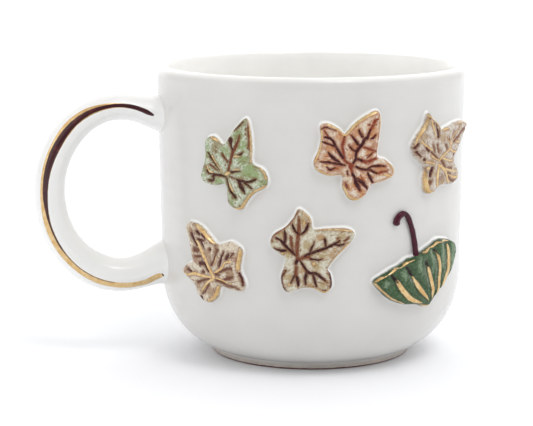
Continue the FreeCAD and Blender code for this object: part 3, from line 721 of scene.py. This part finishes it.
def make_foot(material):
    bevel = FOOT_R - FOOT_STAND_R
    top_z = FOOT_H + 0.33   # it runs a little way up into the cup's curve
    outer = bezier((FOOT_STAND_R, 0), (FOOT_R, 0), (FOOT_R, 0), (FOOT_R, bevel), 10)
    inner_corner = (FOOT_INNER_R, 0)
    inner = bezier((FOOT_INNER_R, bevel), inner_corner, inner_corner, (FOOT_INNER_R + bevel, 0), 10)
    stand = [(r, 0.0) for r in np.linspace(FOOT_INNER_R + bevel, FOOT_STAND_R, 8)[1:-1]]
    side = [(FOOT_R + math.exp((z - top_z) / 0.55), z) for z in np.linspace(bevel, top_z, 16)[1:]]
    top = [(r, top_z) for r in np.linspace(FOOT_R, FOOT_INNER_R, 8)[1:-1]]
    back = [(FOOT_INNER_R, z) for z in np.linspace(top_z, bevel, 8)[:-1]]
    points, faces = turned(stand + list(outer) + side + top + back + list(inner))
    height = points[:, 2]
    azimuth = np.arctan2(points[:, 0], -points[:, 1])
    # painted shade: grey up to 1.5 mm from the floor; the bottom line is a bare edge, widened towards the
    # front as a painted contact shadow
    fields = {"d_foot_shade": height - 1.5, "d_bare_edge_and_shadow": height - 0.22 - 0.22 * np.cos(azimuth + 0.25)}
    return make_piece("foot_ring_glazed", points, faces, material, "foot_ring", fields)


# ---- the handle ----

HANDLE_X, HANDLE_Z = -56.6, 48.95  # centre of its elliptical centreline
HANDLE_A, HANDLE_B = 20.75, 24.95  # half its width and height
TOP_T, BACK_T, BOTTOM_T, HALF_W = 4.2, 4.6, 5.15, 6.5  # half thicknesses and half width of the strap
ROOT = 46.0                        # the strap's ends, in degrees of the ellipse from the cup's side
TOP_BEND, BOTTOM_BEND = 70, 294    # beyond these it runs straight on into the wall

# The painted band, by degrees round the ellipse. Its middle is in degrees round the section from the front;
# its half width, and the middle and half width of the painted dark reflection in it, are in millimetres.
BAND_START, BAND_END = 63.5, 300
MM_PER_DEGREE = 0.42
BAND_MIDDLE = ([66, 80, 92, 104, 116, 128, 146, 182, 200, 225, 262, 286, 296],
               [3, 7, 10, 14, 20, 23, 20, 24.5, 28, 26, 25, 34, 28])
BAND_HALF = ([62, 65, 69, 92, 104, 116, 134, 152, 170, 190, 215, 235, 260, 288, 296, 299, 301],
             [.02, .4, .68, .66, .95, 1.35, 1.7, 1.55, 1.38, 1.25, 1.15, .95, 1, 1.15, .9, .5, .1])
REFLECTION_MIDDLE = ([68, 92, 110, 125, 150, 180, 200, 225, 262],
               [.1, 0, -.2, -.4, -.27, -.4, -.8, -.85, -.75])
REFLECTION_HALF = ([68, 80, 92, 104, 116, 128, 140, 152, 165, 182, 190, 200, 215, 224, 262, 275],
             [.8, .7, .5, .55, .75, .98, 1.15, 1.2, 1, .85, .6, .3, .3, .14, .1, -.2])


def make_handle(material):
    root = math.radians(ROOT)
    angle = np.linspace(root, math.tau - root, 240)[:, None]
    turn = np.linspace(0, math.tau, 128, endpoint=False)[None, :]   # from the front side (-Y) outwards
    bend = np.clip(angle, math.radians(TOP_BEND), math.radians(BOTTOM_BEND))
    sin_a, cos_a = np.sin(bend), np.cos(bend)
    run = np.hypot(HANDLE_A * sin_a, HANDLE_B * cos_a)
    out_x, out_z = HANDLE_B * cos_a / run, HANDLE_A * sin_a / run
    on = (bend - angle) * run
    centre_x = HANDLE_X + HANDLE_A * cos_a + on * HANDLE_A * sin_a / run
    centre_z = HANDLE_Z + HANDLE_B * sin_a - on * HANDLE_B * cos_a / run
    thick = BACK_T + (np.where(sin_a > 0, TOP_T, BOTTOM_T) - BACK_T) * sin_a ** 2
    from_root = np.degrees(np.minimum(angle, math.tau - angle)) - ROOT
    near = np.clip(1 - from_root / 38, 0, 1) ** 2
    outward = np.sin(turn)
    inner_swell = np.where(sin_a > 0, 0.0, 0.5)   # on the finger side, only the bottom end swells
    swell = near * np.where(outward > 0, 1.7 * outward, inner_swell * -outward)
    pulled = 0.10 * np.sin(3 * angle + 1.0) + 0.06 * np.sin(7 * angle + 2 * turn)
    pulled = pulled + 0.035 * np.sin(9 * turn + 0.8 * np.sin(2 * angle)) + 0.02 * np.sin(17 * turn + angle)
    depth = (thick + swell + pulled) * outward
    width = (HALF_W + near * 1.5 + pulled) * np.cos(turn)
    x = centre_x + out_x * depth
    z = centre_z + out_z * depth
    y = -width
    gap = np.hypot(x, y) - wall_radius(np.arctan2(x, -y), z)
    fillet = 1.8 * np.exp(-np.clip(gap, -0.3, None) / 1.7) * np.clip(outward + 0.5, 0, 1)
    x, z, y = x + out_x * outward * fillet, z + out_z * outward * fillet, y - np.cos(turn) * fillet
    # Each end stops halfway through the wall, so that nothing shows inside the cup.
    reach = np.maximum(1.0, (wall_radius(np.arctan2(x, -y), z) - WALL / 2) / np.hypot(x, y))
    x, y = x * reach, y * reach
    points = np.stack([a.ravel() for a in np.broadcast_arrays(x, y, z)], 1)
    points, faces = closed_tube(points, x.shape[1])

    # The band follows the outer front edge; it is measured along the section, from its own middle.
    degrees = np.degrees(angle)
    middle = np.radians(np.interp(degrees, *BAND_MIDDLE))
    section = np.hypot(HALF_W * np.sin(middle), thick * np.cos(middle))
    offset = ((turn - middle + math.pi) % math.tau - math.pi) * section
    past_end = np.maximum(BAND_START - degrees, degrees - BAND_END) * MM_PER_DEGREE
    band = np.maximum(np.abs(offset) - np.interp(degrees, *BAND_HALF), past_end)
    # the dark core is a painted reflection in the gold, varying along the strap
    dark_reflection = np.abs(offset - np.interp(degrees, *REFLECTION_MIDDLE)) - np.interp(degrees, *REFLECTION_HALF)
    tip = np.hypot(offset, (degrees - BAND_END - 0.5) * MM_PER_DEGREE) - 0.75   # a dark dab at its end
    dark_reflection = np.minimum(dark_reflection, tip)
    fields = {"d_band": np.append(band, [9, 9]), "d_dark_reflection": np.append(dark_reflection, [9, 9])}
    return make_piece("handle_glazed", points, faces, material, "handle", fields)


# ---- reliefs ----

EDGE_ROWS = (-0.62, -0.46, -0.32, -0.2, -0.11, -0.04, 0.03, 0.13, 0.26, 0.42, 0.6)   # mm out of the outline
MARKS, PALE_MARKS = 80, 60     # fine brush marks on each relief


def relief_points(loop, spacing=0.22, margin=1.0):
    """Points over and just round an outline, with rows that follow its edge where the side is steep."""
    low, high = loop.min(0) - margin, loop.max(0) + margin
    rows = np.arange(low[1], high[1], spacing * 0.866)
    columns = np.arange(low[0], high[0], spacing)
    grid = np.array([(u + spacing / 2 * (i % 2), v) for i, v in enumerate(rows) for u in columns])
    step = np.hypot(*(np.roll(loop, -1, 0) - loop).T)
    along = np.concatenate([[0], np.cumsum(step)])
    even = np.arange(0, along[-1], 0.2)
    ring = np.stack([np.interp(even, along, np.append(loop[:, k], loop[0, k])) for k in (0, 1)], 1)
    normal = normals(np.roll(ring, -1, 0) - np.roll(ring, 1, 0))
    edge_rows = []
    for offset in EDGE_ROWS:
        moved = ring + normal * offset
        edge_rows.append(moved[np.abs(edge_distance(moved, loop) - offset) < 0.015])
    rim = np.vstack(edge_rows)
    distance = edge_distance(grid, loop)
    grid, distance = grid[distance < margin], distance[distance < margin]
    tree = KDTree(len(rim))
    for i, (u, v) in enumerate(rim):
        tree.insert((u, v, 0), i)
    tree.balance()
    clear = np.array([abs(d) > 0.8 or tree.find((u, v, 0))[2] > 0.15 for (u, v), d in zip(grid, distance)])
    return np.vstack([rim, grid[clear]])


def side_profile(distance, thickness, shoulder=0.8, skirt=0.42):
    """Lift over the wall from the distance to the outline: a run of glaze, a round side, a crowned face."""
    outside = skirt * np.exp(-np.clip(distance, 0, None) / 0.3) - 0.02
    depth = np.clip(-distance / shoulder, 0, 1)
    side = (1 - (1 - depth) ** 2.3) ** 0.5
    crown = 0.28 * (1 - np.exp(-np.clip(-distance - 0.3, 0, None) / 2.5))
    return np.where(distance > 0, outside, skirt - 0.02 + (thickness - skirt) * side + crown)


def groove(distance, depth, width=0.35):
    """A dent along a stroke, deepest inside it."""
    t = np.clip((0.12 - distance) / width, 0, 1)
    return depth * t * t * (3 - 2 * t)


def brush_marks(loop, centre, count, rng):
    """Short fine strokes inside an outline, running outwards from where the veins meet."""
    marks = []
    while len(marks) < count:
        start = rng.uniform(loop.min(0), loop.max(0))
        if in_loop(start[None], loop)[0]:
            away = math.atan2(start[1] - centre[1], start[0] - centre[0]) + rng.normal(0, 0.3)
            reach, half = rng.uniform(1.0, 3.2), rng.uniform(0.06, 0.2)
            end = start + reach * np.array([math.cos(away), math.sin(away)])
            marks.append([(start[0], start[1], half), (end[0], end[1], 0.0)])
    return marks


def make_relief(name, node, outline, azimuth, height, thickness, paint, material, centre, shape=None):
    loop = smooth(outline, closed=True)
    q = relief_points(loop)
    rng = np.random.default_rng(len(outline))
    distance = edge_distance(q, loop)
    fields = {key: stroke_distance(q, strokes) for key, strokes in paint.items()}
    fields["marks"] = stroke_distance(q, brush_marks(loop, centre, MARKS, rng))
    fields["pale_marks"] = stroke_distance(q, brush_marks(loop, centre, PALE_MARKS, rng))
    # The glaze ran down as it melted, so it stands thickest along the upper edges; the same weight, leaning
    # to the right, also paints a highlight on the white there, where the light falls.
    pooled = np.clip(0.5 + facing(q, loop) @ np.array([0.2, 0.5]), 0.05, 1)
    fields.update(edge=distance, pooled=pooled)
    lift = side_profile(distance, thickness, skirt=0.25 + 0.35 * pooled)
    inside = np.clip((-distance - 0.1) / 0.6, 0, 1)
    uneven = np.sin(q[:, 0] * 0.9 + azimuth) + np.sin(q[:, 1] * 0.8 + q[:, 0] * 0.35 + height)
    lift += inside * 0.10 * uneven
    if shape:
        lift += inside * shape(q)
    vein = np.minimum(fields["dark"], np.minimum(fields["brown"], fields["gold"]))
    lift += inside * 0.16 * np.clip(vein / 1.2, 0, 1)
    lift -= inside * np.maximum(groove(fields["dark"], 0.34), groove(fields["brown"], 0.28))
    lift += inside * groove(fields["gold"], 0.10)
    points = on_wall(q[:, 0], q[:, 1], azimuth, height, lift)
    faces = np.array(geometry.delaunay_2d_cdt([Vector(p) for p in q.tolist()], [], [], 0, 1e-7)[2])
    # Faces that bridge a notch, or lie beyond the last row, aren't part of the piece.
    corners = q[faces]
    longest = np.max([np.hypot(*(corners[:, i] - corners[:, i - 1]).T) for i in range(3)], axis=0)
    kept = faces[(distance[faces].max(1) < 0.995) & (longest < 0.9)]
    if np.median(np.cross(corners[:, 1] - corners[:, 0], corners[:, 2] - corners[:, 0])) < 0:
        kept = kept[:, ::-1]
    return make_piece(name, points, kept, material, node, fields)


# ---- the umbrella ----

CANOPY_PAINT = {"gold": [
    [(-1.7, -13.2, .15), (-3.7, -12.5, .5), (-6.2, -11.3, .75), (-8.7, -9, .8), (-10.5, -6.6, .65),
     (-11.3, -5.2, .2)],
    [(1, -12.9, .12), (-.2, -11.6, .4), (-2.1, -10, .62), (-4.2, -7.5, .65), (-5.9, -5, .25)],
    [(2.2, -12.6, .12), (2.2, -11, .5), (2, -9, .68), (1.3, -6.5, .7), (.3, -4, .6), (-.4, -2.7, .2)],
    [(3.5, -12.4, .1), (4.2, -11, .4), (4.7, -9, .6), (4.9, -6, .65), (4.7, -3, .62), (4, -.5, .5),
     (3, 1.2, .15)],
    [(5.5, -11.2, .1), (6.6, -9.9, .45), (8, -8, .7), (9.2, -5.5, .8), (9.6, -3, .8), (9.4, -.5, .7),
     (8.8, 1.6, .5), (8.2, 2.5, .15)],
    [(-17.3, -5.4, .2), (-16, -4.6, .28), (-14.3, -4, .15), (-12.5, -3.1, .28), (-11, -2.2, .22),
     (-9.7, -2, .12), (-8.2, -1.1, .28), (-6.6, -.6, .22), (-5.2, -.4, .12)],
    [(-1.9, 1.1, .12), (-.4, 1.6, .28), (1, 2.3, .14), (2.4, 2.6, .3), (4, 3.4, .24), (5.2, 3.4, .14),
     (6.9, 3.6, .28), (8.4, 3.4, .24), (9.6, 3.1, .12)],
    [(-17.4, -6, .3), (-15.6, -7.9, .28), (-12.4, -10.6, .25), (-8.1, -12.6, .2)],
    [(-1.5, -13.9, .2), (1, -14.5, .35), (2, -14.2, .2)],
], "dark": [
    [(-10.7, -6.2, .3), (-11.6, -5.2, .5), (-12.6, -4, .35)],
    [(-5.8, -4.8, .3), (-6.7, -3.6, .5), (-8, -2.1, .3)], [(0, -2.9, .3), (-.6, -2, .5), (-1.3, -1.3, .25)],
    [(2.4, 1.6, .25), (3.3, .9, .3), (4.2, 0, .15)],
], "brown": [
# on the umbrella the two washes are painted highlights: lighter green on the swells between the ribs and at
# its right end, and pale lines along the left of each rib
], "wash_a_and_canopy_highlight": [
    [(12.2, -4.6, 1.2), (12.4, -1, 1.5), (11.6, 1.6, 1)], [(6.5, -3.6, .5), (6.5, 0, .7), (6, 2.2, .5)],
    [(-2.4, -4.6, .4), (-3.5, -2, .6), (-3.2, 0, .4)], [(-8.5, -5, .5), (-9.1, -3.2, .5)],
    (-14.2, -6.4, .8), [(2.2, -5, .2), (1.8, -1, .5), (1.1, 1.4, .5)],
], "wash_b_and_canopy_highlight": [
    [(3.6, -9.6, .1), (3.7, -6, .22), (3.5, -3, .22), (2.8, -.4, .1)],
    [(6.9, -8, .1), (8, -5.4, .3), (8.3, -2.6, .32), (7.9, .4, .15)],
    [(.5, -8.6, .1), (-.1, -6, .22), (-1.3, -3.4, .1)], [(-3.4, -9, .1), (-5.6, -6.6, .22), (-7, -4.8, .1)],
]}
RIBS = CANOPY_PAINT["gold"][:5]
STICK_R = 0.74


def canopy_shape(q):
    """The cloth swells between the ribs and each rib stands up as a cord."""
    rib = stroke_distance(q, RIBS)
    return 0.35 * np.exp(-(np.clip(rib + 0.3, 0, None) / 0.5) ** 2) + 0.45 * np.clip((rib - 0.5) / 2.2, 0, 1)


def make_stick(material):
    """The stick and its crook: a rolled coil of clay laid on the wall, one end widened on the canopy."""
    line = smooth([(u, v, 0) for u, v in STICK], per_span=8)[:, :2]
    step = np.concatenate([[0], np.cumsum(np.hypot(*np.diff(line, axis=0).T))])
    length = step[-1]
    normal = normals(np.gradient(line, axis=0))
    turn = np.linspace(0, math.tau, 24, endpoint=False)
    end = np.sqrt(np.clip(1 - np.clip((step - (length - STICK_R)) / STICK_R, 0, 1) ** 2, 0.02, 1))
    root = 1 + 0.9 * np.exp(-step / 1.1)
    crook = 1 + 0.3 * np.clip((step - length + 5) / 3, 0, 1)
    radius = STICK_R * end * root * crook * (1 + 0.04 * np.sin(step * 1.7))
    rows = []
    for i, (u, v) in enumerate(line):
        side = radius[i] * np.cos(turn)
        lift = 0.62 + radius[i] * np.sin(turn) + 0.5 * math.exp(-step[i] / 1.6)
        rows.append(on_wall(u + normal[i, 0] * side, v + normal[i, 1] * side, UMBRELLA_AZIMUTH, UMBRELLA_Z,
                            lift))
    points, faces = closed_tube(np.vstack(rows), len(turn))
    return make_piece("umbrella_stick_glazed", points, faces, material, "umbrella_stick")


def stick_glaze(name):
    n = Nodes(name)
    color = n.mix(n.ramp(n.noise(1.0, 3.0, 0.6), 0.35, 0.65), srgb(78, 10, 38), srgb(56, 6, 26))
    n.bump(n.noise(0.7, 3.0, 0.6), 0.08)
    return n.finish(color, n.ramp(n.noise(1.5, 2.0), 0.3, 0.7, 0.12, 0.22), ior=1.36)


make_cup(glazed_clay("white_glaze_body"))
make_foot(foot_glaze("foot_glaze_thin"))
make_handle(handle_glaze("white_glaze_handle"))

# Each leaf's slot and where its veins meet, then its ground (pale and darker), two washes, the stain along
# the veins, the brown line and the dark line.
LEAF_GLAZES = {
    "leaf_green": ("green_glaze", (-1.0, -3.1), (208, 212, 198), (164, 176, 142), (130, 150, 92),
                   (124, 104, 52), (126, 104, 56), (112, 50, 22), (60, 14, 14)),
    "leaf_russet": ("russet_glaze", (-0.9, -2.5), (222, 212, 198), (204, 180, 152), (188, 128, 76),
                    (162, 98, 54), (166, 100, 56), (132, 48, 22), (54, 6, 18)),
    "leaf_grey": ("grey_glaze", (-5.6, -2.3), (212, 203, 192), (184, 170, 154), (170, 142, 104),
                  (142, 112, 98), (148, 114, 80), (124, 74, 52), (74, 22, 26)),
    "leaf_brown": ("brown_glaze", (4.9, -4.6), (222, 211, 193), (196, 180, 157), (152, 116, 84),
                   (154, 114, 92), (132, 92, 62), (112, 66, 50), (78, 30, 32)),
    "leaf_sand": ("sand_glaze", (-4.1, -1.3), (214, 210, 196), (192, 184, 158), (168, 142, 92),
                  (170, 128, 78), (142, 104, 58), (118, 56, 32), (54, 8, 18)),
}
# The umbrella's tones, in the same order; its two washes are painted highlights.
CANOPY_TONES = ((50, 78, 46), (80, 104, 74), (132, 152, 124), (146, 154, 136), (50, 60, 40), (58, 44, 30),
                (38, 16, 24))
for number, (leaf, (azimuth, height, outline)) in enumerate(LEAVES.items()):
    glaze, centre, *tones = LEAF_GLAZES[leaf]
    material = relief_glaze(glaze + "_painted", tones, shift=10.0 * number)
    make_relief(leaf + "_glazed", leaf, outline, azimuth, height, LEAF_T, PAINT[leaf], material,
                centre)
material = relief_glaze("umbrella_glaze_painted", CANOPY_TONES, shift=60.0, streaks=0.7)
make_relief("umbrella_canopy_glazed", "umbrella_canopy", CANOPY, UMBRELLA_AZIMUTH,
            UMBRELLA_Z, CANOPY_T, CANOPY_PAINT, material, (1.2, -16.0), canopy_shape)
make_stick(stick_glaze("burgundy_glaze_stick"))


# ---- floor, light and camera ----

def make_floor():
    n = Nodes("floor_pale")
    color = n.mix(n.noise(60, 2.0), srgb(249, 250, 252), srgb(247, 248, 251))
    material = n.finish(color, 0.9)
    size = 6.0
    mesh = bpy.data.meshes.new("floor")
    corners = [(-size, -size, 0), (size, -size, 0), (size, size, 0), (-size, size, 0)]
    mesh.from_pydata(corners, [], [(0, 1, 2, 3)])
    mesh.materials.append(material)
    floor = bpy.data.objects.new("floor", mesh)
    bpy.context.scene.collection.objects.link(floor)


# Each light in the studio is a soft lobe of the world: the direction it comes from, how narrow it is,
# and its strength.
LIGHTS = [
    ((0.2, -0.45, 0.86), 60, 6.9),
    ((0, 0, 1), 2, 0.5),
    ((1, -0.2, 0.35), 5, 0.79),
    ((-1, -0.2, 0.35), 5, 1.03),
    ((0, 1, 0.2), 3, 1.45),
    ((0.7, 0.3, 0.7), 6, 0.5),
]
AMBIENT = 0.326


def make_world():
    world = bpy.data.worlds.new("studio")
    n = Tree(world)
    direction = n.add("ShaderNodeTexCoord").outputs["Generated"]
    total = AMBIENT
    for source, power, strength in LIGHTS:
        dot = n.add("ShaderNodeVectorMath", operation="DOT_PRODUCT")
        n.plug(direction, dot.inputs[0])
        n.plug(Vector(source).normalized(), dot.inputs[1])
        lobe = n.math("POWER", n.math("MAXIMUM", dot.outputs["Value"], 0.0), power)
        total = n.plus(n.times(lobe, strength), total)
    back = n.tree.nodes["Background"]
    n.plug(total, back.inputs["Strength"])
    n.plug((1.0, 1.0, 1.0, 1.0), back.inputs["Color"])
    bpy.context.scene.world = world


CAMERA_PLACE, CAMERA_TARGET = (-96.03, -544.6, 133.6), (-12.92, 2.28, 40.64)
LENS = 126.7                   # on a sensor 36 mm wide


def make_camera():
    data = bpy.data.cameras.new("camera")
    data.lens = LENS
    data.sensor_width = 36.0
    data.clip_start, data.clip_end = 0.01, 50.0
    camera = bpy.data.objects.new("camera", data)
    place, target = Vector(CAMERA_PLACE) * MM, Vector(CAMERA_TARGET) * MM
    camera.location = place
    camera.rotation_euler = (target - place).to_track_quat("-Z", "Y").to_euler()
    bpy.context.scene.collection.objects.link(camera)
    bpy.context.scene.camera = camera


make_floor()
make_world()
make_camera()
scene = bpy.context.scene
scene.view_settings.view_transform = "Standard"
scene.view_settings.look = "None"
